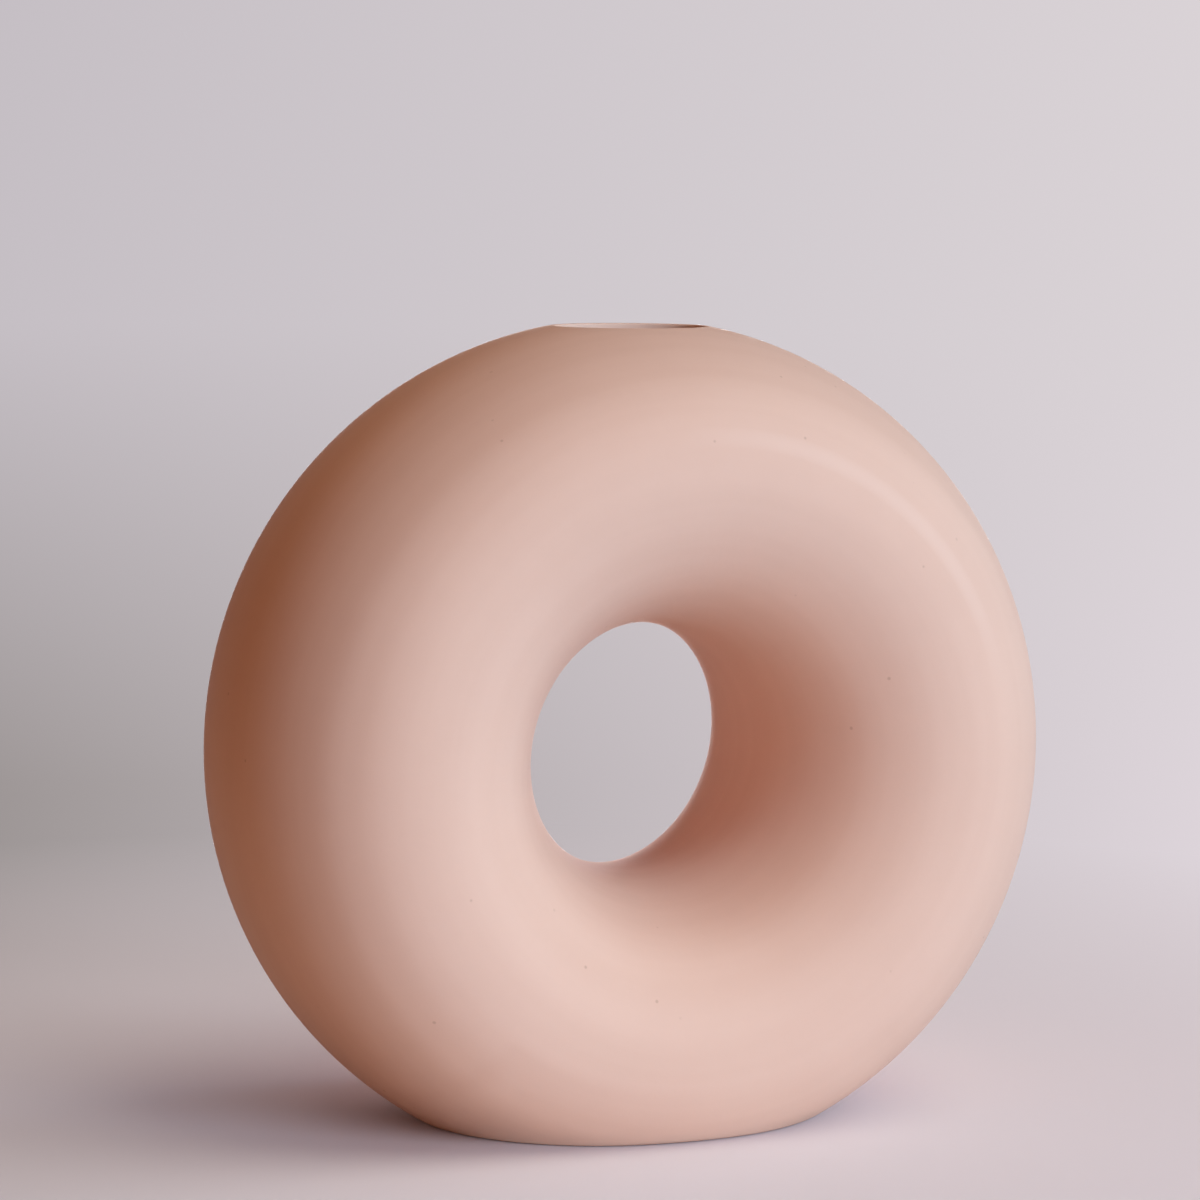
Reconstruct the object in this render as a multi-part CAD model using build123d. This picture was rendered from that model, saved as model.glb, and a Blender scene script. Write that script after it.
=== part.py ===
from build123d import *
from math import cos, radians, sin, sqrt
import os

# Donut vase: a hollow ceramic ring that stands upright on a flat foot, with an oval mouth cut level across its
# top. Lengths are millimetres and +Z is up. The origin is the middle of the foot, on the table. X runs along the
# ring's width and Y along the ring's axis, with the front face towards -Y.
# The clay is two half rings, luted with slip where they meet: a thin joint between their walls, and a wedge of
# slip in the groove along it, scraped flush. A liner glaze inside makes the vase hold water. The outside is bare
# clay.

# The ring, outside
ring_diameter = 216.5
hole_diameter = 63.0
ring_depth = 110.0
foot_length = 108.3
foot_edge_radius = 4.0

# The mouth, measured inside its glaze, and the flat land round it
mouth_length = 37.9
lip_land = 1.2
lip_edge_radius = 0.5

# The clay's wall, the floor over the foot and the rounded corner where they meet inside
wall = 4.5
floor_thickness = 5.5
floor_edge_radius = 6.0

# The seam between the halves
seam_width = 1.0
seam_groove_width = 4.0
seam_groove_depth = 1.5

# The liner glaze, and how far below the rim it ends
glaze_thickness = 0.5
bare_lip_height = 2.0

# How far a cutting block passes beyond what it cuts
overrun = 10.0

# The ring's section is an oval of four tangent arcs: a flank towards the hole and one outside, which turn this
# many degrees to each side, and a tighter crown at the front and at the rear
flank_turn = 32.0
outer_radius = ring_diameter / 2
hole_radius = hole_diameter / 2
centreline_radius = (outer_radius + hole_radius) / 2
section_half_width = (outer_radius - hole_radius) / 2
section_half_depth = ring_depth / 2
flank_run = cos(radians(flank_turn))
flank_rise = sin(radians(flank_turn))
radius_difference = (section_half_depth - section_half_width) / (flank_run + flank_rise - 1)
crown_offset = radius_difference * flank_rise
crown_radius = section_half_depth - crown_offset
flank_offset = radius_difference * flank_run
flank_radius = section_half_width + flank_offset

# The foot and the rim are level cuts through the ring, so their heights follow from their lengths
ring_height = sqrt(outer_radius**2 - (foot_length / 2) ** 2)
rim_half_length = mouth_length / 2 + glaze_thickness + lip_land
rim_above_ring = sqrt(outer_radius**2 - rim_half_length**2)
rim_height = ring_height + rim_above_ring
rim_half_width = sqrt(flank_radius**2 - (rim_above_ring - centreline_radius + flank_offset) ** 2)
reach = max(outer_radius, section_half_depth) + overrun


def ring(inset):
    """The closed ring, drawn in by inset all round its section and turned from the bottom."""
    flank = flank_radius - inset
    crown = crown_radius - inset
    crown_turn = 180 - 2 * flank_turn
    arcs = [
        CenterArc((centreline_radius - flank_offset, 0), flank, -flank_turn, 2 * flank_turn),
        CenterArc((centreline_radius, crown_offset), crown, flank_turn, crown_turn),
        CenterArc((centreline_radius + flank_offset, 0), flank, 180 - flank_turn, 2 * flank_turn),
        CenterArc((centreline_radius, -crown_offset), crown, 180 + flank_turn, crown_turn),
    ]
    return Pos(0, 0, ring_height) * Rot(0, 90, 0) * revolve(make_face(arcs), Axis.Y)


def level_block(bottom, top):
    """A block wider than the ring, between two heights."""
    standing = (Align.CENTER, Align.CENTER, Align.MIN)
    return Pos(0, 0, bottom) * Box(2 * reach, 2 * reach, top - bottom, align=standing)


def rounded_below(form, radius):
    """The form with the edge of its lowest flat face rounded."""
    flat = form.faces().sort_by(Axis.Z)[0]
    return fillet(flat.edges(), radius)


def chamber(glaze):
    """The hollow inside the clay, or inside the glaze on it, with a flat floor."""
    hollow = ring(wall + glaze) & level_block(floor_thickness + glaze, rim_height)
    return rounded_below(hollow, floor_edge_radius - glaze)


def mouth(lip):
    """The upright oval opening from the chamber out through the rim, a lip inside the rim's edge."""
    oval = Ellipse(rim_half_length - lip, rim_half_width - lip)
    bottom = ring_height + centreline_radius
    return Pos(0, 0, bottom) * extrude(oval, rim_height + overrun - bottom)


def clay_body():
    """Both halves and their seams in one, with the lip's inner edge rounded, to be cut apart."""
    outside = rounded_below(ring(0) & level_block(0, rim_height), foot_edge_radius)
    bored = outside - mouth(lip_land)
    land = bored.faces().filter_by(Axis.Z).sort_by(Axis.Z)[-1]
    return fillet(land.inner_wires()[0].edges(), lip_edge_radius) - chamber(0)


def seam_side(side):
    """One side of the slip's section, from the ring's axis outwards: the front side (-1) or the rear (1)."""
    joint = side * seam_width / 2
    groove = side * (seam_groove_width - seam_width / 2)
    return [
        (0, groove),
        (hole_radius - seam_groove_depth, groove),
        (hole_radius + seam_groove_depth, joint),
        (outer_radius - seam_groove_depth, joint),
        (outer_radius + seam_groove_depth, groove),
        (reach, groove),
    ]


def turned(corners):
    """The solid that a section with these corners sweeps round the ring's axis, turned from the top."""
    section = make_face(Polyline(corners, close=True))
    return Pos(0, 0, ring_height) * Rot(0, -90, 0) * revolve(section, Axis.Y)


def half_space(side):
    """Everything in front of the slip (-1) or behind it (1)."""
    return turned(seam_side(side) + [(reach, side * reach), (0, side * reach)])


def slip_space():
    """Everything that slip fills between the halves, in their joint and in the grooves along it."""
    return turned(seam_side(-1) + seam_side(1)[::-1])


def inside_glaze():
    """The liner glaze on the chamber's wall and floor and up the mouth, ending below the lip."""
    neck = mouth(lip_land) & level_block(ring_height, rim_height - bare_lip_height)
    return chamber(0) + neck - chamber(glaze_thickness) - mouth(lip_land + glaze_thickness)


clay = clay_body()
hole_slip, outside_slip = (clay & slip_space()).solids().sort_by(SortBy.VOLUME)
pieces = {
    "front_half_shell": clay & half_space(-1),
    "rear_half_shell": clay & half_space(1),
    "outer_seam_slip": outside_slip,
    "inner_seam_slip": hole_slip,
    "inside_glaze": inside_glaze(),
}

os.makedirs("parts", exist_ok=True)
for name, piece in pieces.items():
    export_step(piece, f"parts/{name}.step")
    print(name, "solids", len(piece.solids()), "volume", round(piece.volume), "valid", piece.is_valid)
print("clay", round(clay.volume), "rim height", round(rim_height, 2))
print("rim", round(2 * rim_half_length, 2), "by", round(2 * rim_half_width, 2))
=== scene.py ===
from math import asin, atan2, cos, hypot, pi, radians, sin, sqrt, tan

import bpy
import numpy as np
from mathutils import Matrix, Vector, noise


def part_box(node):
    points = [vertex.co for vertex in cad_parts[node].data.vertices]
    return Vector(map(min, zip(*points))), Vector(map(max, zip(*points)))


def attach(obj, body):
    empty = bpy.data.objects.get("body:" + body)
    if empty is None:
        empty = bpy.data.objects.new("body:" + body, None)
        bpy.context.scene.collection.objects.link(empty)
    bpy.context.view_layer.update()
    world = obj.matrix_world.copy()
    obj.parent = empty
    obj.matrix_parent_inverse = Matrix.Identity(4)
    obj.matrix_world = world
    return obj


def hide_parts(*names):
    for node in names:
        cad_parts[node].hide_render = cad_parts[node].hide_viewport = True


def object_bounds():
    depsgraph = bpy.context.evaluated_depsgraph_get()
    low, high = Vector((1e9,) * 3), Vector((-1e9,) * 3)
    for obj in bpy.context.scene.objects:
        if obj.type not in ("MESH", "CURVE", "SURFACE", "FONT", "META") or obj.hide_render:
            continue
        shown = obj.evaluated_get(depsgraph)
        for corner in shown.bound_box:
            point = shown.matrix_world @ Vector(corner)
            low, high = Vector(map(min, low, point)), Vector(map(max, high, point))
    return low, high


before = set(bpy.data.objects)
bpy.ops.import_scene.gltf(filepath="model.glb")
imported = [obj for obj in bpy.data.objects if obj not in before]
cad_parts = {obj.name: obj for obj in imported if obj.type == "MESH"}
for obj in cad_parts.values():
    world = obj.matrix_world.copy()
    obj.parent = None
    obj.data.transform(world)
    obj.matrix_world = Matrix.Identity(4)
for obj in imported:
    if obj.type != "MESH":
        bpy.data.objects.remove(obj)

# The vase's sizes, in metres. Those of the whole ring come from the frame, and the rest are the potter's.
cad_low, cad_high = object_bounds()
slip_ring_low, slip_ring_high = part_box("inner_seam_slip")
wall = 0.0045
outer_radius = (cad_high.x - cad_low.x) / 2
half_depth = (cad_high.y - cad_low.y) / 2
rim_height = cad_high.z
ring_height = (slip_ring_low.z + slip_ring_high.z) / 2
hole_radius = (slip_ring_high.x - slip_ring_low.x) / 2 - wall
floor_thickness = 0.0055
foot_edge_radius = 0.004
floor_edge_radius = 0.006
seam_half_width = 0.002
lip_land = 0.0012
lip_edge_radius = 0.0005
bare_lip_height = 0.002
glaze_thickness = 0.0005

# The ring's section: four tangent arcs, a flank outside and one towards the hole, and two tighter crowns
flank_turn = radians(32.0)
centreline_radius = (outer_radius + hole_radius) / 2
section_half_width = (outer_radius - hole_radius) / 2
radius_difference = (half_depth - section_half_width) / (sin(flank_turn) + cos(flank_turn) - 1)
crown_offset = radius_difference * sin(flank_turn)
crown_radius = half_depth - crown_offset
flank_offset = radius_difference * cos(flank_turn)
flank_radius = section_half_width + flank_offset

# The rim's oval and the foot's length, where the level cuts meet the ring
rim_half_length = sqrt(outer_radius**2 - (rim_height - ring_height) ** 2)
rim_radial_place = rim_height - ring_height - centreline_radius + flank_offset
rim_half_width = sqrt(flank_radius**2 - rim_radial_place**2)
foot_half_length = sqrt(outer_radius**2 - ring_height**2)

# The faint rings that turning leaves in the clay: their spacing and depth, how much they change on the way
# round the ring, and how near the foot and the rim they fade out
turning_spacing = 0.009
turning_depth = 0.00005
turning_change = 0.5
turning_fade = 0.012

# A painted highlight, a pale arc on the front face where the light catches the ring: its distance from the
# ring's axis, its half width and the direction of its middle
ring_centre = Vector((0.0, 0.0, ring_height))
highlight_arc_radius = 0.0817
highlight_arc_half_width = 0.0026
highlight_arc_turn = radians(34.0)
highlight_arc_middle = Vector((sin(highlight_arc_turn), 0.0, cos(highlight_arc_turn)))

# The clay's finish: how much of its colour varies, how strongly the painted highlight arc and the iron
# specks show, how rough it is and how far clouds and grain change that, its gloss, and what its tooth is
# made of
clay_variation = 0.55
clay_highlight_strength = 0.45
clay_speck_strength = 0.33
clay_roughness = 0.72
clay_cloud_roughness = 0.16
clay_grain_roughness = 0.1
clay_gloss = 0.28
tooth_depth = 0.00025
tooth_grain_share = 0.6
tooth_pit_share = 0.4
tooth_speck_share = 0.3

# The glaze's finish: how much of its depth of colour is pooling and how much lies low down, its ripple and
# pinholes, how rough it is, and the clear coat over it
glaze_pool_share = 0.6
glaze_low_share = 0.4
glaze_ripple_share = 0.8
glaze_pinhole_share = 0.4
glaze_relief_strength = 0.12
glaze_relief_depth = 0.0004
glaze_roughness = 0.3
glaze_pool_roughness = 0.12
glaze_pinhole_roughness = 0.2
glaze_coat = 0.25
glaze_coat_roughness = 0.15

# How finely the surfaces are drawn: columns round the ring, the step between rows round its section, rows
# across half of a seam, loops from the grid in to a cut, steps round the rounded edges, and the shares of a
# level cut's rounding and of the lip's land that get a loop
columns_round_ring = 180
row_step = 0.002
seam_rows = 2
loops_round_cut = 6
lip_edge_steps = 4
glaze_edge_steps = 6
level_edge_shares = (0.7, 0.4, 0.15, 0.0)
lip_land_shares = (0.12, 0.5)

# How far the grid's frames stand off the mouth and the foot round the ring, which way the section faces
# where they end, and where on a cut's oval the frame's corners are drawn to
mouth_frame_margin = 0.013
foot_frame_margin = 0.014
mouth_frame_turn = radians(22.0)
foot_frame_turn = radians(68.0)
frame_corner_turn = radians(45.0)

# How far inside its edge a level cut is filled flat, the step that the slope at its edge is measured on, how
# often a search halves its range, and how little a direction leans that counts as straight along the ring
flat_margin = 0.003
slope_step = 0.0002
halvings = 50
straight_lean = 0.01

# The photograph's camera, and the directions that are ahead and right in its picture
camera_place = Vector((-0.4103, -0.9618, 0.24081))
camera_aim = Vector((-0.00727, 0.0, 0.13069))
camera_roll = radians(0.6801)
camera_lens = 124.2848
camera_film_width = 36.0
view_ahead = (camera_aim - camera_place).normalized()
view_right = view_ahead.cross(Vector((0.0, 0.0, 1.0))).normalized()

# The floor, and how far from the vase its paper runs out into the backdrop and its bounced light dims
floor_radius = 30.0
floor_sides = 96
paper_reach = 0.45
bounce_reach = 0.8

# How quickly the backdrop's painted shade grows lighter to the right, in shares for each sideways unit
backdrop_fall = 3.0

# A Mix node has sockets of the same names for numbers, vectors and colours. These are the ones for colours.
mix_share = 0
mix_first = 6
mix_second = 7
mix_result = 2


def colour(red, green, blue):
    """A linear colour, opaque."""
    return (red, green, blue, 1.0)


# The colours of the painted highlight arc and the iron specks, and of the glaze where it is thin and where
# it pooled
painted_highlight_colour = colour(0.78, 0.58, 0.52)
speck_colour = colour(0.3, 0.15, 0.09)
thin_glaze = colour(0.62, 0.38, 0.28)
pooled_glaze = colour(0.5, 0.28, 0.19)

# The backdrop's tones: outside the camera's picture, and in it near the floor and higher up. The left ones
# are painted shade, and low on the left they paint the vase's shadow
plain_tone = colour(0.62, 0.575, 0.6)
low_left_painted_shadow = colour(0.31, 0.28, 0.275)
low_right = colour(0.75, 0.685, 0.73)
high_left_painted_shade = colour(0.55, 0.51, 0.545)
high_right = colour(0.71, 0.66, 0.685)


class Value:
    """A number that varies over a surface, so that shader sums read as plain sums."""

    def __init__(self, finish, socket):
        self.finish = finish
        self.socket = socket

    def sum_with(self, operation, first, second):
        return self.finish.node("ShaderNodeMath", {"operation": operation}, {0: first, 1: second})

    def __add__(self, other):
        return self.sum_with("ADD", self, other)

    def __sub__(self, other):
        return self.sum_with("SUBTRACT", self, other)

    def __rsub__(self, other):
        return self.sum_with("SUBTRACT", other, self)

    def __mul__(self, other):
        return self.sum_with("MULTIPLY", self, other)

    def __truediv__(self, other):
        return self.sum_with("DIVIDE", self, other)

    def __rtruediv__(self, other):
        return self.sum_with("DIVIDE", other, self)

    def __pow__(self, other):
        return self.sum_with("POWER", self, other)

    def __rpow__(self, other):
        return self.sum_with("POWER", other, self)

    __radd__ = __add__
    __rmul__ = __mul__


class Finish:
    """A node tree under construction, for a material or for the world."""

    def __init__(self, tree):
        self.tree = tree
        self.tree.nodes.clear()

    def node(self, kind, settings=None, sockets=None, output=0):
        """Adds a node, with its settings first, then the values or links of its sockets."""
        made = self.tree.nodes.new(kind)
        for name, setting in (settings or {}).items():
            if name == "stops":
                self.set_stops(made.color_ramp, setting)
            else:
                setattr(made, name, setting)
        for key, given in (sockets or {}).items():
            if isinstance(given, Value):
                self.tree.links.new(given.socket, made.inputs[key])
            else:
                made.inputs[key].default_value = given
        return Value(self, made.outputs[output]) if made.outputs else made

    def set_stops(self, ramp, stops):
        """Gives a ramp its stops, as pairs of place and grey level."""
        while len(ramp.elements) < len(stops):
            ramp.elements.new(1.0)
        for element, (place, level) in zip(ramp.elements, stops):
            element.position = place
            element.color = (level, level, level, 1.0)

    def rising(self, value, start, end):
        """0 up to the start, 1 from the end on, and even between them."""
        return self.node("ShaderNodeValToRGB", {"stops": [(start, 0.0), (end, 1.0)]}, {0: value})

    def falling(self, value, start, end):
        """1 up to the start, 0 from the end on, and even between them."""
        return self.node("ShaderNodeValToRGB", {"stops": [(start, 1.0), (end, 0.0)]}, {0: value})

    def mix(self, share, first, second):
        """A colour between two, or between two that vary."""
        sockets = {mix_share: share, mix_first: first, mix_second: second}
        return self.node("ShaderNodeMix", {"data_type": "RGBA"}, sockets, output=mix_result)

    def either(self, share, first, second):
        """A blend of two shaders."""
        return self.node("ShaderNodeMixShader", {}, {0: share, 1: first, 2: second})

    def greater(self, first, second):
        """The greater of two numbers."""
        return self.node("ShaderNodeMath", {"operation": "MAXIMUM"}, {0: first, 1: second})

    def part(self, vector, axis):
        """One of a vector's three numbers."""
        return self.node("ShaderNodeSeparateXYZ", {}, {0: vector}, output=axis)

    def joined(self, x, y, z):
        """A vector from three numbers."""
        return self.node("ShaderNodeCombineXYZ", {}, {0: x, 1: y, 2: z})

    def difference(self, first, second):
        """The vector from the second place to the first."""
        return self.node("ShaderNodeVectorMath", {"operation": "SUBTRACT"}, {0: first, 1: second})

    def reach(self, vector, direction):
        """How far a vector reaches along a direction."""
        sockets = {0: vector, 1: direction}
        return self.node("ShaderNodeVectorMath", {"operation": "DOT_PRODUCT"}, sockets, output="Value")

    def beside(self, value, output):
        """Another output of the node that a value came from."""
        return Value(self, value.socket.node.outputs[output])

    def noise(self, vector, scale, detail, roughness=0.5):
        """Cloudy noise from 0 to 1."""
        sockets = {"Vector": vector, "Scale": scale, "Detail": detail, "Roughness": roughness}
        return self.node("ShaderNodeTexNoise", {}, sockets)

    def close(self, kind, shader):
        """Leads the finished shader to the tree's output."""
        self.node(kind, {}, {"Surface": shader})


def new_material(name):
    """An empty material and its node tree."""
    material = bpy.data.materials.new(name)
    material.use_nodes = True
    return material, Finish(material.node_tree)


def section_angle(finish, place):
    """How far round the ring's section a place lies, and its distance from the ring's axis."""
    across = finish.part(place, "X")
    up = finish.part(place, "Z") - ring_height
    from_axis = (across * across + up * up) ** 0.5
    sockets = {0: finish.part(place, "Y"), 1: from_axis - centreline_radius}
    return finish.node("ShaderNodeMath", {"operation": "ARCTAN2"}, sockets), from_axis


def turning_bands(finish, place, angle):
    """Bands of tone that run round the ring, a little wavy, as turning leaves them."""
    bands_for_each_radian = 7.0
    waviness = 0.8
    change_for_each_metre = 4.0
    wander = finish.noise(place, scale=9.0, detail=2.0)
    across = finish.part(place, "X") * change_for_each_metre
    up = finish.part(place, "Z") * change_for_each_metre
    bands_at = finish.joined(angle * bands_for_each_radian + wander * waviness, across, up)
    return finish.noise(bands_at, scale=1.0, detail=3.0, roughness=0.55)


def iron_specks(finish, place):
    """A few small specks, in the middle of about one cell in seven of a fine pattern."""
    cells = finish.node("ShaderNodeTexVoronoi", {}, {"Vector": place, "Scale": 160.0})
    luck = finish.part(finish.beside(cells, "Color"), "X")
    return finish.falling(cells, start=0.05, end=0.09) * finish.rising(luck, start=0.84, end=0.88)


def painted_highlight_arc(finish, place, from_axis):
    """A painted highlight: the pale arc on the front face, fading across its width and at its ends."""
    off_line = (from_axis - highlight_arc_radius) / highlight_arc_half_width
    towards_middle = finish.reach(finish.difference(place, ring_centre), highlight_arc_middle) / from_axis
    forward = 0.5 - finish.part(place, "Y") / half_depth
    across = finish.falling(off_line * off_line, start=0.0, end=1.0)
    in_front = finish.rising(forward, start=0.9, end=1.0)
    lengthways = finish.rising(towards_middle, start=0.75, end=0.94)
    return across * in_front * lengthways


def clay_material(name, body, pale, dark, tooth):
    """Bare fired clay: cloudy colour, faint turning rings, a few iron specks, a fine tooth and a painted
    highlight arc.
    """
    material, finish = new_material(name)
    place = finish.node("ShaderNodeTexCoord", output="Object")
    angle, from_axis = section_angle(finish, place)
    bands = turning_bands(finish, place, angle)
    clouds = finish.noise(place, scale=28.0, detail=4.0, roughness=0.6)
    grain = finish.noise(place, scale=900.0, detail=3.0, roughness=0.6)
    pits = finish.noise(place, scale=260.0, detail=2.0)
    specks = iron_specks(finish, place)
    # The pale arc on the front face is a painted highlight
    arc = painted_highlight_arc(finish, place, from_axis)
    tone = finish.rising((bands + clouds) / 2, start=0.3, end=0.7)
    base = finish.mix(clay_variation, body, finish.mix(tone, dark, pale))
    highlighted = finish.mix(arc * clay_highlight_strength, base, painted_highlight_colour)
    speckled = finish.mix(specks * clay_speck_strength, highlighted, speck_colour)
    cloudy = clay_roughness + (clouds - 0.5) * clay_cloud_roughness
    height = grain * tooth_grain_share + pits * tooth_pit_share - specks * tooth_speck_share
    relief = {"Strength": tooth, "Distance": tooth_depth, "Height": height}
    sockets = {
        "Base Color": speckled,
        "Roughness": cloudy + (grain - 0.5) * clay_grain_roughness,
        "Normal": finish.node("ShaderNodeBump", {}, relief),
        "Specular IOR Level": clay_gloss,
    }
    finish.close("ShaderNodeOutputMaterial", finish.node("ShaderNodeBsdfPrincipled", {}, sockets))
    return material


def glaze_material():
    """The liner: clear gloss over the clay's colour, a little deeper where it has pooled."""
    material, finish = new_material("liner_glaze")
    place = finish.node("ShaderNodeTexCoord", output="Object")
    pooled = finish.noise(place, scale=22.0, detail=3.0)
    ripple = finish.noise(place, scale=70.0, detail=2.0)
    low_down = finish.falling(finish.part(place, "Z") / rim_height, start=0.0, end=0.35)
    pinholes = finish.falling(finish.noise(place, scale=600.0, detail=1.0), start=0.24, end=0.3)
    base = finish.mix(pooled * glaze_pool_share + low_down * glaze_low_share, thin_glaze, pooled_glaze)
    height = ripple * glaze_ripple_share - pinholes * glaze_pinhole_share
    relief = {"Strength": glaze_relief_strength, "Distance": glaze_relief_depth, "Height": height}
    sockets = {
        "Base Color": base,
        "Roughness": glaze_roughness + pooled * glaze_pool_roughness + pinholes * glaze_pinhole_roughness,
        "Normal": finish.node("ShaderNodeBump", {}, relief),
        "Coat Weight": glaze_coat,
        "Coat Roughness": glaze_coat_roughness,
    }
    finish.close("ShaderNodeOutputMaterial", finish.node("ShaderNodeBsdfPrincipled", {}, sockets))
    return material


def row_turns():
    """The rows' directions round the section, from the outer seam by the rear crown to the hole and back."""
    flank_arc = flank_radius * flank_turn
    crown_arc = crown_radius * (pi - 2 * flank_turn)
    half_arc = 2 * flank_arc + crown_arc
    between_seams = round((half_arc - 2 * seam_half_width) / row_step)
    arcs = [seam_half_width * row / seam_rows for row in range(seam_rows)]
    arcs += list(np.linspace(seam_half_width, half_arc - seam_half_width, between_seams + 1))
    arcs += [half_arc - seam_half_width * (1 - row / seam_rows) for row in range(1, seam_rows + 1)]
    turns = []
    for arc in arcs:
        if arc < flank_arc:
            turns.append(arc / flank_radius)
        elif arc < flank_arc + crown_arc:
            turns.append(flank_turn + (arc - flank_arc) / crown_radius)
        else:
            turns.append(pi - (half_arc - arc) / flank_radius)
    return turns + [-turn for turn in turns[-2:0:-1]]


def furthest(holds, near, far):
    """The furthest place from near towards far where something still holds."""
    for halving in range(halvings):
        middle = (near + far) / 2
        near, far = (middle, far) if holds(middle) else (near, middle)
    return near


def partway(first, second, share):
    """The points a share of the way from one plan to another."""
    return [(x + (u - x) * share, y + (v - y) * share) for (x, y), (u, v) in zip(first, second)]


def add_loop(places, loop):
    """Adds a loop of places to others, and gives their numbers."""
    start = len(places)
    places.extend(loop)
    return list(range(start, len(places)))


def band(first, second):
    """The faces between two loops with as many corners."""
    count = len(first)
    faces = []
    for k in range(count):
        after = (k + 1) % count
        faces.append((first[k], first[after], second[after], second[k]))
    return faces


class Skin:
    """One surface of the ring, drawn in by inset: a grid with a level cut at the bottom and a mouth on top.

    All skins have the same faces between their corners, so that two can be joined corner by corner.
    """

    def __init__(self, inset, level, level_radius, mouth, relief=0.0):
        self.inset = inset
        self.level = level
        self.level_radius = level_radius
        self.relief = relief
        self.turns = row_turns()
        self.rows = len(self.turns)
        self.places = []
        self.faces = []
        self.tags = []
        for column in range(columns_round_ring):
            around = 2 * pi * column / columns_round_ring
            for turn in self.turns:
                self.places.append(self.on_ring(around, turn))
        column_step = 2 * pi * outer_radius / columns_round_ring
        foot_half_arc = asin(foot_half_length / outer_radius) * outer_radius
        mouth_reach = round((rim_half_length + mouth_frame_margin) / column_step)
        foot_reach = round((foot_half_arc + foot_frame_margin) / column_step)
        mouth_rows = self.row_beyond(mouth_frame_turn)
        foot_rows = self.row_beyond(foot_frame_turn)
        self.grid_faces(mouth_reach, mouth_rows, foot_reach, foot_rows)
        self.mouth_loop, self.mouth_tags, self.mouth_plan = self.open_mouth(mouth_reach, mouth_rows, mouth)
        self.flatten_foot(foot_reach, foot_rows)

    def oval(self, turn):
        """The section's point whose outward direction is turn: from the ring's axis, and along it."""
        if abs(sin(turn)) > sin(flank_turn):
            side = 1 if sin(turn) > 0 else -1
            radius = crown_radius - self.inset
            return centreline_radius + radius * cos(turn), side * crown_offset + radius * sin(turn)
        side = 1 if cos(turn) > 0 else -1
        radius = flank_radius - self.inset
        return centreline_radius - side * flank_offset + radius * cos(turn), radius * sin(turn)

    def outward_turn(self, along):
        """The outward direction on the ring's outer side at a place along its axis."""
        flank = flank_radius - self.inset
        if abs(along) <= flank * sin(flank_turn):
            return asin(along / flank)
        rise = min(1.0, (abs(along) - crown_offset) / (crown_radius - self.inset))
        return asin(rise) if along > 0 else -asin(rise)

    def sunk(self, around, turn, height):
        """How far a turning ring sinks the surface, fading out at the foot and the rim."""
        if not self.relief:
            return 0.0
        across_rings = turn * half_depth / turning_spacing
        change = (turning_change * sin(around), turning_change * cos(around))
        ring = noise.noise(Vector((across_rings, *change)))
        over_foot = min(1.0, max(0.0, height / turning_fade))
        under_rim = min(1.0, max(0.0, (rim_height - height) / turning_fade))
        return self.relief * over_foot * under_rim * (1 + ring) / 2

    def on_ring(self, around, turn):
        """A place on the surface, by its angle round the ring from the top and its section direction."""
        out, along = self.oval(turn)
        sunk = self.sunk(around, turn, ring_height + out * cos(around))
        out -= sunk * cos(turn)
        along -= sunk * sin(turn)
        return (out * sin(around), along, ring_height + out * cos(around))

    def above(self, x, y, side):
        """A place on the ring's outer side over (1) or under (-1) a place in plan."""
        turn = self.outward_turn(y)
        out = self.oval(turn)[0]
        height = sqrt(max(0.0, out * out - x * x))
        around = atan2(x, side * height)
        sunk = self.sunk(around, turn, ring_height + side * height)
        across = x - sunk * cos(turn) * sin(around)
        return (across, y - sunk * sin(turn), ring_height + side * (height - sunk))

    def cut_reach(self, x, y):
        """How far along a direction in plan the level cut's edge is.

        The search ends where the section's depth does, or at the ring's outside straight along the ring.
        In the chamber the first is short of the edge at the ring's two ends. The floor's edge folds there.
        """
        most_along = half_depth - self.inset

        def below_cut(distance):
            along = y * distance
            return abs(along) < most_along and self.above(x * distance, along, -1)[2] < self.level

        return furthest(below_cut, 0.0, most_along if abs(y) > straight_lean else outer_radius)

    def row_beyond(self, turn):
        """The first row that faces at least this far from straight outwards, the same in every skin."""
        row = 0
        while self.turns[row] < turn:
            row += 1
        return row

    def index(self, column, row):
        """The number of the grid's corner in a column and a row."""
        return (column % columns_round_ring) * self.rows + row % self.rows

    def row_tag(self, row):
        """Which piece the clay between a row and the next one belongs to."""
        half = self.rows // 2
        row %= self.rows
        if row < seam_rows or row >= self.rows - seam_rows:
            return "outer_seam_slip"
        if half - seam_rows <= row < half + seam_rows:
            return "inner_seam_slip"
        return "rear_half_shell" if row < half else "front_half_shell"

    def add_face(self, corners, tag):
        """Adds a face and the piece that it belongs to."""
        self.faces.append(tuple(corners))
        self.tags.append(tag)

    def add_band(self, first, second, tags, flip):
        """Adds the band of faces between two loops, the second inside the first."""
        for corners, tag in zip(band(first, second), tags):
            self.add_face(corners[::-1] if flip else corners, tag)

    def grid_faces(self, mouth_reach, mouth_rows, foot_reach, foot_rows):
        """The grid's faces, apart from those over the mouth and the foot."""
        half = columns_round_ring // 2
        for column in range(columns_round_ring):
            from_top = min(column, columns_round_ring - 1 - column)
            from_foot = half - 1 - from_top
            for row in range(self.rows):
                from_seam = min(row, self.rows - 1 - row)
                if from_top < mouth_reach and from_seam < mouth_rows:
                    continue
                if from_foot < foot_reach and from_seam < foot_rows:
                    continue
                right, rear = column + 1, row + 1
                corners = [(column, row), (right, row), (right, rear), (column, rear)]
                self.add_face([self.index(c, r) for c, r in corners], self.row_tag(row))

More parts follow.
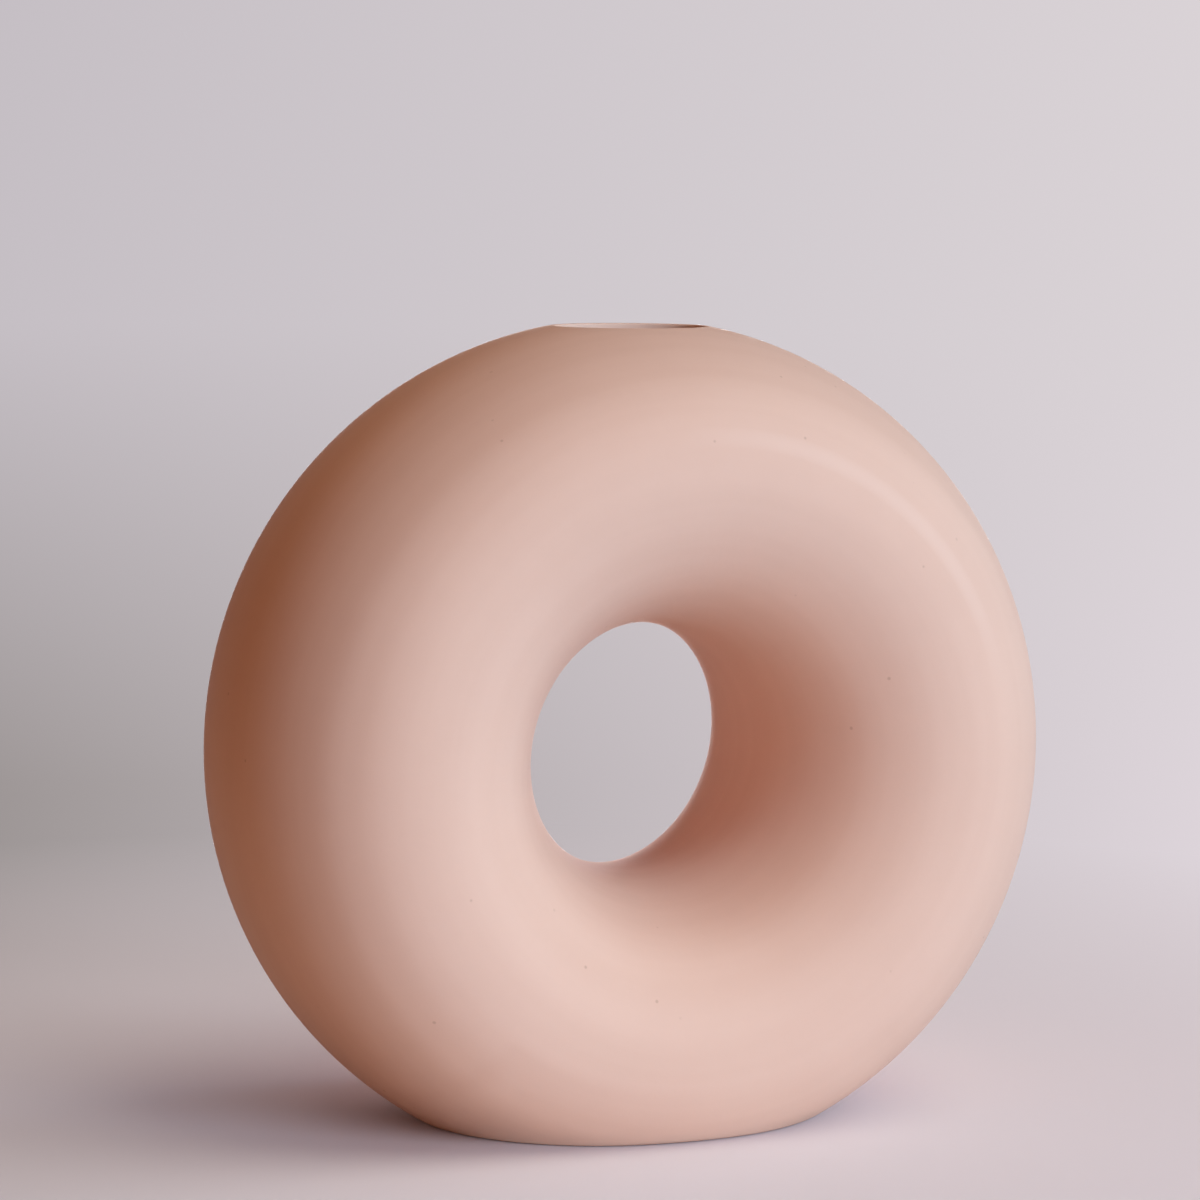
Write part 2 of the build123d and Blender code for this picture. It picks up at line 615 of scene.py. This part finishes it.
    def frame_round(self, centre, reach, rows, side):
        """The grid's corners round a cut, anticlockwise in plan from the right front, and their pieces."""
        right, left = centre + side * reach, centre - side * reach
        loop = [(right, row) for row in range(-rows, rows + 1)]
        loop += [(right - side * step, rows) for step in range(1, 2 * reach + 1)]
        loop += [(left, row) for row in range(rows - 1, -rows - 1, -1)]
        loop += [(left + side * step, -rows) for step in range(1, 2 * reach)]
        tags = [self.row_tag(row) for row in range(-rows, rows)]
        tags += ["rear_half_shell"] * (2 * reach)
        tags += [self.row_tag(row - 1) for row in range(rows, -rows, -1)]
        tags += ["front_half_shell"] * (2 * reach)
        return [self.index(c, r) for c, r in loop], tags

    def plan_directions(self, reach, rows, half_length, half_width):
        """The oval's points that face the corners round a cut. Near the seam they keep their distance."""
        frame_width = self.oval(self.turns[rows])[1]
        frame_places = [0, seam_half_width, frame_width]
        oval_places = [0, seam_half_width, half_width * sin(frame_corner_turn)]

        def end_point(row, side):
            along = self.oval(self.turns[row])[1]
            kept = np.interp(abs(along), frame_places, oval_places)
            across = half_length * sqrt(1 - (kept / half_width) ** 2)
            return side * across, kept if along > 0 else -kept

        def side_point(step, start):
            turn = start + frame_corner_turn + (pi - 2 * frame_corner_turn) * step / (2 * reach)
            return half_length * cos(turn), half_width * sin(turn)

        points = [end_point(row, 1) for row in range(-rows, rows + 1)]
        points += [side_point(step, 0.0) for step in range(1, 2 * reach)]
        points += [end_point(row, -1) for row in range(rows, -rows - 1, -1)]
        points += [side_point(step, pi) for step in range(1, 2 * reach)]
        return points

    def draw_in(self, loop, tags, plan, side):
        """Draws the surface in over (1) or under (-1) a plan, loop by loop, and gives the last loop."""
        frame_plan = [self.places[k][:2] for k in loop]
        for step in range(1, loops_round_cut + 1):
            points = partway(frame_plan, plan, step / loops_round_cut)
            inner = add_loop(self.places, [self.above(x, y, side) for x, y in points])
            self.add_band(loop, inner, tags, side < 0)
            loop = inner
        return loop

    def open_mouth(self, reach, rows, mouth):
        """Draws the surface in to the mouth's edge."""
        loop, tags = self.frame_round(0, reach, rows, 1)
        plan = mouth(self.plan_directions(reach, rows, rim_half_length, rim_half_width), self)
        return self.draw_in(loop, tags, plan, 1), tags, plan

    def level_edge(self, x, y):
        """The level cut's edge along a direction in plan: its distance, slope and rounding's length."""
        edge = self.cut_reach(x, y)
        beyond = edge + slope_step
        slope = atan2(self.above(x * beyond, y * beyond, -1)[2] - self.level, slope_step)
        return edge, slope, self.level_radius * tan(slope / 2)

    def flatten_foot(self, reach, rows):
        """Draws the surface in to the level cut, rounds its edge and fills the flat."""
        loop, tags = self.frame_round(columns_round_ring // 2, reach, rows, -1)
        edges = []
        for x, y in self.plan_directions(reach, rows, foot_half_length, self.cut_reach(0.0, 1.0)):
            length = hypot(x, y)
            edges.append((x / length, y / length, *self.level_edge(x / length, y / length)))
        plan = []
        for x, y, edge, slope, rounding in edges:
            outer_end = edge + rounding * cos(slope)
            plan.append((x * outer_end, y * outer_end))
        loop = self.draw_in(loop, tags, plan, -1)
        for share in level_edge_shares:
            places = []
            for x, y, edge, slope, rounding in edges:
                out = edge - rounding + self.level_radius * sin(slope * share)
                height = self.level + self.level_radius * (1 - cos(slope * share))
                places.append((x * out, y * out, height))
            inner = add_loop(self.places, places)
            self.add_band(loop, inner, tags, True)
            loop = inner
        flat = []
        for x, y, edge, slope, rounding in edges:
            flat.append((x * (edge - flat_margin), y * (edge - flat_margin), self.level))
        inner = add_loop(self.places, flat)
        self.add_band(loop, inner, tags, True)
        self.fill_flat(inner, reach, rows)

    def fill_flat(self, loop, reach, rows):
        """Fills the flat inside a loop: a strip of slip along its middle, and a face on each side."""
        count = len(loop)
        left_start = 2 * rows + 2 * reach
        right = {row: loop[row + rows] for row in range(-rows, rows + 1)}
        left = {row: loop[(left_start + rows - row) % count] for row in range(-rows, rows + 1)}
        for row in range(-seam_rows, seam_rows):
            self.add_face([right[row], left[row], left[row + 1], right[row + 1]], "outer_seam_slip")
        rear_end = left_start + rows - seam_rows
        rear = [loop[k] for k in range(rows + seam_rows, rear_end + 1)]
        front_start = left_start + rows + seam_rows
        front = [loop[k % count] for k in range(front_start, count + rows - seam_rows + 1)]
        self.add_face(rear[::-1], "rear_half_shell")
        self.add_face(front[::-1], "front_half_shell")


def rim_plan(directions, skin):
    """The rim's oval in plan: where the ring's outside reaches the rim's height."""
    well_inside = 0.8
    well_outside = 1.2
    plan = []
    for x, y in directions:

        def over_rim(share):
            return skin.above(x * share, y * share, 1)[2] > rim_height

        reached = furthest(over_rim, well_inside, well_outside)
        plan.append((x * reached, y * reached))
    return plan


def mouth_plan(lip):
    """A mouth's oval in plan, a lip inside the rim."""

    def drawn(directions, skin):
        across = (rim_half_length - lip) / rim_half_length
        deep = (rim_half_width - lip) / rim_half_width
        return [(x * across, y * deep) for x, y in directions]

    return drawn


def face_direction(places):
    """A face's direction, as long as twice its area."""
    total = Vector((0, 0, 0))
    for k, place in enumerate(places):
        after = places[(k + 1) % len(places)]
        total += Vector(place).cross(Vector(after))
    return total


def corner_directions(places, faces):
    """Each corner's direction: the mean of its faces', by their areas."""
    total = [Vector((0, 0, 0)) for place in places]
    for face in faces:
        direction = face_direction([places[k] for k in face])
        for k in face:
            total[k] += direction
    return [direction.normalized() for direction in total]


def mesh_object(name, places, faces, directions, material):
    """An object of these faces. A face's corners get their directions, or its own where that is None."""
    used = sorted({k for face in faces for k in face})
    place_of = {k: at for at, k in enumerate(used)}
    mesh = bpy.data.meshes.new(name)
    mesh.from_pydata([places[k] for k in used], [], [[place_of[k] for k in face] for face in faces])
    mesh.polygons.foreach_set("use_smooth", [True] * len(faces))
    corners = []
    for face, given in zip(faces, directions):
        own = face_direction([places[k] for k in face]).normalized()
        corners.extend(given if given else [own] * len(face))
    mesh.normals_split_custom_set(corners)
    mesh.materials.append(material)
    made = bpy.data.objects.new(name, mesh)
    bpy.context.collection.objects.link(made)
    return made


def turned_in(skin, count):
    """A skin's faces as an inner side, after an outer side of count places."""
    return [tuple(k + count for k in face[::-1]) for face in skin.faces]


def lip_loops(plan, inner_plan):
    """The lip from the rim's oval inwards: the flat land, its rounded inner edge and the wall below."""
    loops = []
    for share in lip_land_shares:
        loops.append([(x, y, rim_height) for x, y in partway(plan, inner_plan, share)])
    for step in range(lip_edge_steps + 1):
        turn = pi / 2 * step / lip_edge_steps
        height = rim_height - lip_edge_radius * (1 - cos(turn))
        back = lip_edge_radius * (1 - sin(turn))
        loop = []
        for (x, y), (u, v) in zip(plan, inner_plan):
            length = hypot(x - u, y - v)
            loop.append((u + (x - u) / length * back, v + (y - v) / length * back, height))
        loops.append(loop)
    loops.append([(u, v, rim_height - bare_lip_height) for u, v in inner_plan])
    return loops


def seam_sides(piece, outside, lip_lines):
    """The faces through the wall where a piece of the clay meets another."""
    count = len(outside.places)
    owner = {}
    for face, tag in zip(outside.faces, outside.tags):
        for k, corner in enumerate(face):
            owner[corner, face[(k + 1) % len(face)]] = tag
    sides = []
    for (start, end), tag in owner.items():
        if tag == piece and owner.get((end, start), piece) != piece:
            sides.append((end, start, start + count, end + count))
    for k, here in enumerate(outside.mouth_tags):
        before = outside.mouth_tags[k - 1]
        line = tuple(loop[k] for loop in lip_lines)
        if here == piece and before != piece:
            sides.append(line)
        if before == piece and here != piece:
            sides.append(line[::-1])
    return sides


def clay_pieces(materials):
    """The two half shells and the two strips of slip, cut from one surface that runs on across the seams."""
    outside = Skin(0.0, 0.0, foot_edge_radius, rim_plan, relief=turning_depth)
    inside = Skin(wall, floor_thickness, floor_edge_radius, mouth_plan(lip_land))
    count = len(outside.places)
    places = outside.places + inside.places
    lip_lines = [outside.mouth_loop]
    for loop in lip_loops(outside.mouth_plan, inside.mouth_plan):
        lip_lines.append(add_loop(places, loop))
    lip_lines.append([k + count for k in inside.mouth_loop])
    faces = list(outside.faces)
    tags = list(outside.tags)
    for first, second in zip(lip_lines, lip_lines[1:]):
        faces += band(first, second)
        tags += outside.mouth_tags
    faces += turned_in(inside, count)
    tags += inside.tags
    directions = corner_directions(places, faces)
    made = {}
    for piece, material in materials.items():
        own_faces = [face for face, tag in zip(faces, tags) if tag == piece]
        sides = seam_sides(piece, outside, lip_lines)
        own_directions = [[directions[k] for k in face] for face in own_faces] + [None] * len(sides)
        made[piece] = mesh_object(piece + "_form", places, own_faces + sides, own_directions, material)
    return made


def glaze_piece(material):
    """The liner glaze: a thin skin on the chamber's wall, with a rounded edge inside the mouth."""
    inner_radius = floor_edge_radius - glaze_thickness
    inner_mouth = mouth_plan(lip_land + glaze_thickness)
    outer = Skin(wall, floor_thickness, floor_edge_radius, mouth_plan(lip_land))
    inner = Skin(wall + glaze_thickness, floor_thickness + glaze_thickness, inner_radius, inner_mouth)
    count = len(outer.places)
    places = outer.places + inner.places
    edge_radius = glaze_thickness / 2
    edge_height = rim_height - bare_lip_height - edge_radius
    lines = [outer.mouth_loop]
    for step in range(glaze_edge_steps + 1):
        turn = pi * step / glaze_edge_steps
        height = edge_height + edge_radius * sin(turn)
        points = partway(outer.mouth_plan, inner.mouth_plan, (1 - cos(turn)) / 2)
        lines.append(add_loop(places, [(x, y, height) for x, y in points]))
    lines.append([k + count for k in inner.mouth_loop])
    faces = outer.faces + turned_in(inner, count)
    for first, second in zip(lines, lines[1:]):
        faces += band(first, second)
    directions = corner_directions(places, faces)
    face_corners = [[directions[k] for k in face] for face in faces]
    return mesh_object("inside_glaze_form", places, faces, face_corners, material)


def seen_directly(finish):
    """1 for what the camera sees, straight, in a gloss or through a clear thing, and 0 for what lights."""
    straight = finish.node("ShaderNodeLightPath", output="Is Camera Ray")
    glossy = finish.node("ShaderNodeLightPath", output="Is Glossy Ray")
    through = finish.node("ShaderNodeLightPath", output="Is Transmission Ray")
    return finish.greater(finish.greater(straight, glossy), through)


def backdrop_tone(finish, direction, left, right):
    """The backdrop's colour: painted shade, lighter from left to right in the camera's picture, and plain
    outside it.
    """
    inside = finish.mix(0.5 + finish.reach(direction, view_right) * backdrop_fall, left, right)
    ahead = finish.rising(finish.reach(direction, view_ahead), start=0.85, end=0.95)
    return finish.mix(ahead, plain_tone, inside)


def floor_material(paper, near_bounce, far_bounce):
    """Pale paper that takes the vase's shadow and throws light at the vase, and runs out into the backdrop,
    which carries painted shade and a painted shadow low on the left.
    """
    material, finish = new_material("pale_paper")
    place = finish.node("ShaderNodeNewGeometry", output="Position")
    distance = finish.reach(place, place) ** 0.5
    outlook = finish.difference(place, camera_place)
    direction = finish.node("ShaderNodeVectorMath", {"operation": "NORMALIZE"}, {0: outlook})
    low_tone = backdrop_tone(finish, direction, low_left_painted_shadow, low_right)
    high_tone = backdrop_tone(finish, direction, high_left_painted_shade, high_right)
    lowness = finish.rising(0.0 - finish.part(direction, "Z"), start=0.04, end=0.15)
    # The backdrop's glow carries its painted shade, and the vase's painted shadow low on the left
    even = finish.node("ShaderNodeEmission", {}, {"Color": finish.mix(lowness, high_tone, low_tone)})
    lit = finish.node("ShaderNodeBsdfDiffuse", {}, {"Color": paper})
    seen = finish.either(finish.rising(distance / paper_reach, start=0.16, end=1.0), lit, even)
    dimness = finish.rising(distance / bounce_reach, start=0.2, end=1.0)
    bounce = finish.mix(dimness, near_bounce, far_bounce)
    thrown = finish.node("ShaderNodeBsdfDiffuse", {}, {"Color": bounce})
    finish.close("ShaderNodeOutputMaterial", finish.either(seen_directly(finish), thrown, seen))
    return material


def floor_piece(material):
    """A wide round floor."""
    turns = [2 * pi * side / floor_sides for side in range(floor_sides)]
    edge = [(floor_radius * cos(turn), floor_radius * sin(turn), 0.0) for turn in turns]
    mesh = bpy.data.meshes.new("floor")
    mesh.from_pydata(edge, [], [list(range(floor_sides))])
    mesh.materials.append(material)
    made = bpy.data.objects.new("floor", mesh)
    bpy.context.collection.objects.link(made)
    return made


def set_world(room):
    """The backdrop that the camera sees, with painted shade towards the left, and the dim warm room that the
    vase sees.
    """
    world = bpy.data.worlds.new("studio")
    world.use_nodes = True
    bpy.context.scene.world = world
    finish = Finish(world.node_tree)
    towards = finish.node("ShaderNodeTexCoord", output="Generated")
    backdrop = backdrop_tone(finish, towards, high_left_painted_shade, high_right)
    tone = finish.mix(seen_directly(finish), room, backdrop)
    finish.close("ShaderNodeOutputWorld", finish.node("ShaderNodeBackground", {}, {"Color": tone}))


def soft_light(name, azimuth, elevation, spread, strength, tint, only=(), through_floor=False):
    """A far, soft light, on everything or only on some objects. Through the floor, only those shade it.

    Azimuth 0 is in front, and 90 is on the right.
    """
    data = bpy.data.lights.new(name, "SUN")
    data.angle = radians(spread)
    data.energy = strength * pi
    data.color = tint
    light = bpy.data.objects.new(name, data)
    bpy.context.collection.objects.link(light)
    turn, rise = radians(azimuth), radians(elevation)
    towards = Vector((sin(turn) * cos(rise), -cos(turn) * cos(rise), sin(rise)))
    light.rotation_mode = "QUATERNION"
    light.rotation_quaternion = (-towards).to_track_quat("-Z", "Y")
    if only:
        lit = bpy.data.collections.new(name + "_lit")
        for piece in only:
            lit.objects.link(piece)
        light.light_linking.receiver_collection = lit
        if through_floor:
            light.light_linking.blocker_collection = lit


def set_camera():
    """The camera at the photograph's place."""
    data = bpy.data.cameras.new("camera")
    data.sensor_width = camera_film_width
    data.sensor_fit = "HORIZONTAL"
    data.lens = camera_lens
    camera = bpy.data.objects.new("camera", data)
    bpy.context.collection.objects.link(camera)
    aimed = (camera_aim - camera_place).to_track_quat("-Z", "Y").to_matrix()
    turned = aimed @ Matrix.Rotation(camera_roll, 3, "Z")
    camera.matrix_world = Matrix.Translation(camera_place) @ turned.to_4x4()
    bpy.context.scene.camera = camera


# The vase
matte_clay = clay_material(
    "matte_clay",
    body=colour(0.72, 0.5, 0.43),
    pale=colour(0.755, 0.537, 0.465),
    dark=colour(0.68, 0.46, 0.388),
    tooth=0.12,
)
seam_slip = clay_material(
    "seam_slip",
    body=colour(0.72, 0.5, 0.43),
    pale=colour(0.755, 0.537, 0.465),
    dark=colour(0.676, 0.457, 0.385),
    tooth=0.1,
)
shells = {
    "front_half_shell": matte_clay,
    "rear_half_shell": matte_clay,
    "outer_seam_slip": seam_slip,
    "inner_seam_slip": seam_slip,
}
pieces = clay_pieces(shells)
pieces["inside_glaze"] = glaze_piece(glaze_material())
for node, piece in pieces.items():
    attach(piece, "root")
    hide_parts(node)

# The stage
pale_paper = floor_material(
    paper=colour(0.76, 0.775, 0.89),
    near_bounce=colour(0.63, 0.51, 0.44),
    far_bounce=colour(0.2, 0.08, 0.03),
)
floor = floor_piece(pale_paper)
set_world(room=colour(0.14, 0.035, 0.0))

# The lights: one is on everything, and the others are on the vase, on its clay or on the floor alone
vase = list(pieces.values())
clay = [pieces[node] for node in shells]
cool_white = (0.86, 0.92, 1.0)
soft_light("key", azimuth=16.0, elevation=7.0, spread=18.0,
           strength=0.93, tint=(0.622, 0.848, 1.0), only=vase)
soft_light("window", azimuth=80.0, elevation=12.0, spread=60.0,
           strength=0.4, tint=(0.534, 0.822, 1.0), only=vase)
soft_light("overhead", azimuth=50.0, elevation=62.0, spread=40.0,
           strength=0.285, tint=(1.0, 0.82, 0.565))
soft_light("warm_fill", azimuth=-34.0, elevation=3.0, spread=40.0,
           strength=0.19, tint=(1.0, 0.37, 0.07), only=vase)
soft_light("rear_fill", azimuth=157.0, elevation=-4.0, spread=24.0,
           strength=0.74, tint=(1.0, 0.94, 0.94), only=clay, through_floor=True)
soft_light("floor_wash", azimuth=78.0, elevation=28.0, spread=56.0,
           strength=0.32, tint=cool_white, only=[floor])
soft_light("floor_front", azimuth=23.0, elevation=14.0, spread=34.0,
           strength=0.52, tint=cool_white, only=[floor])
soft_light("floor_fill", azimuth=0.0, elevation=80.0, spread=150.0,
           strength=0.18, tint=(0.8, 0.92, 1.0), only=[floor])
set_camera()

bpy.context.scene.view_settings.view_transform = "Standard"
